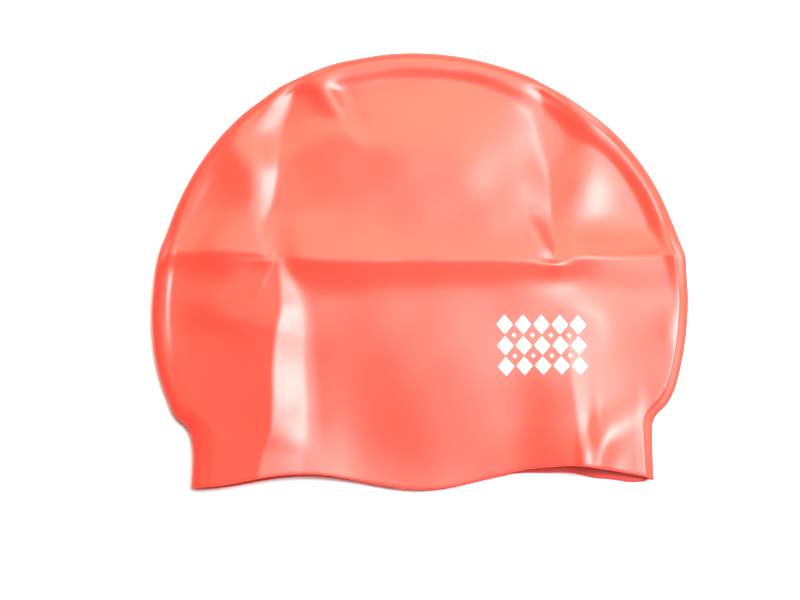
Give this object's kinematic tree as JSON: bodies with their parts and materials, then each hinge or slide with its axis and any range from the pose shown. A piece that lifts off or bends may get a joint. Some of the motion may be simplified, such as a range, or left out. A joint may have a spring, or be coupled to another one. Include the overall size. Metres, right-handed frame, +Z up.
{
  "type": "swim cap",
  "caption": "Moulded silicone swim cap lying flat: two joined faces with a rounded rim, a round crown, short ear tails, a wavy open mouth and soft crossing folds.",
  "frame": {"origin": "on the table under the middle of the cap's box", "axes": "+X to the wearer's side across the cap, to the right in the picture; +Y from the mouth to the crown; +Z up from the table"},
  "size_m": [0.225, 0.1881, 0.0146],
  "materials": {
    "silicone": "satin, slightly translucent coral red silicone",
    "print": "thin matte white ink"
  },
  "bodies": {
    "root": {"cap_shell": "silicone"}
  },
  "joints": []
}
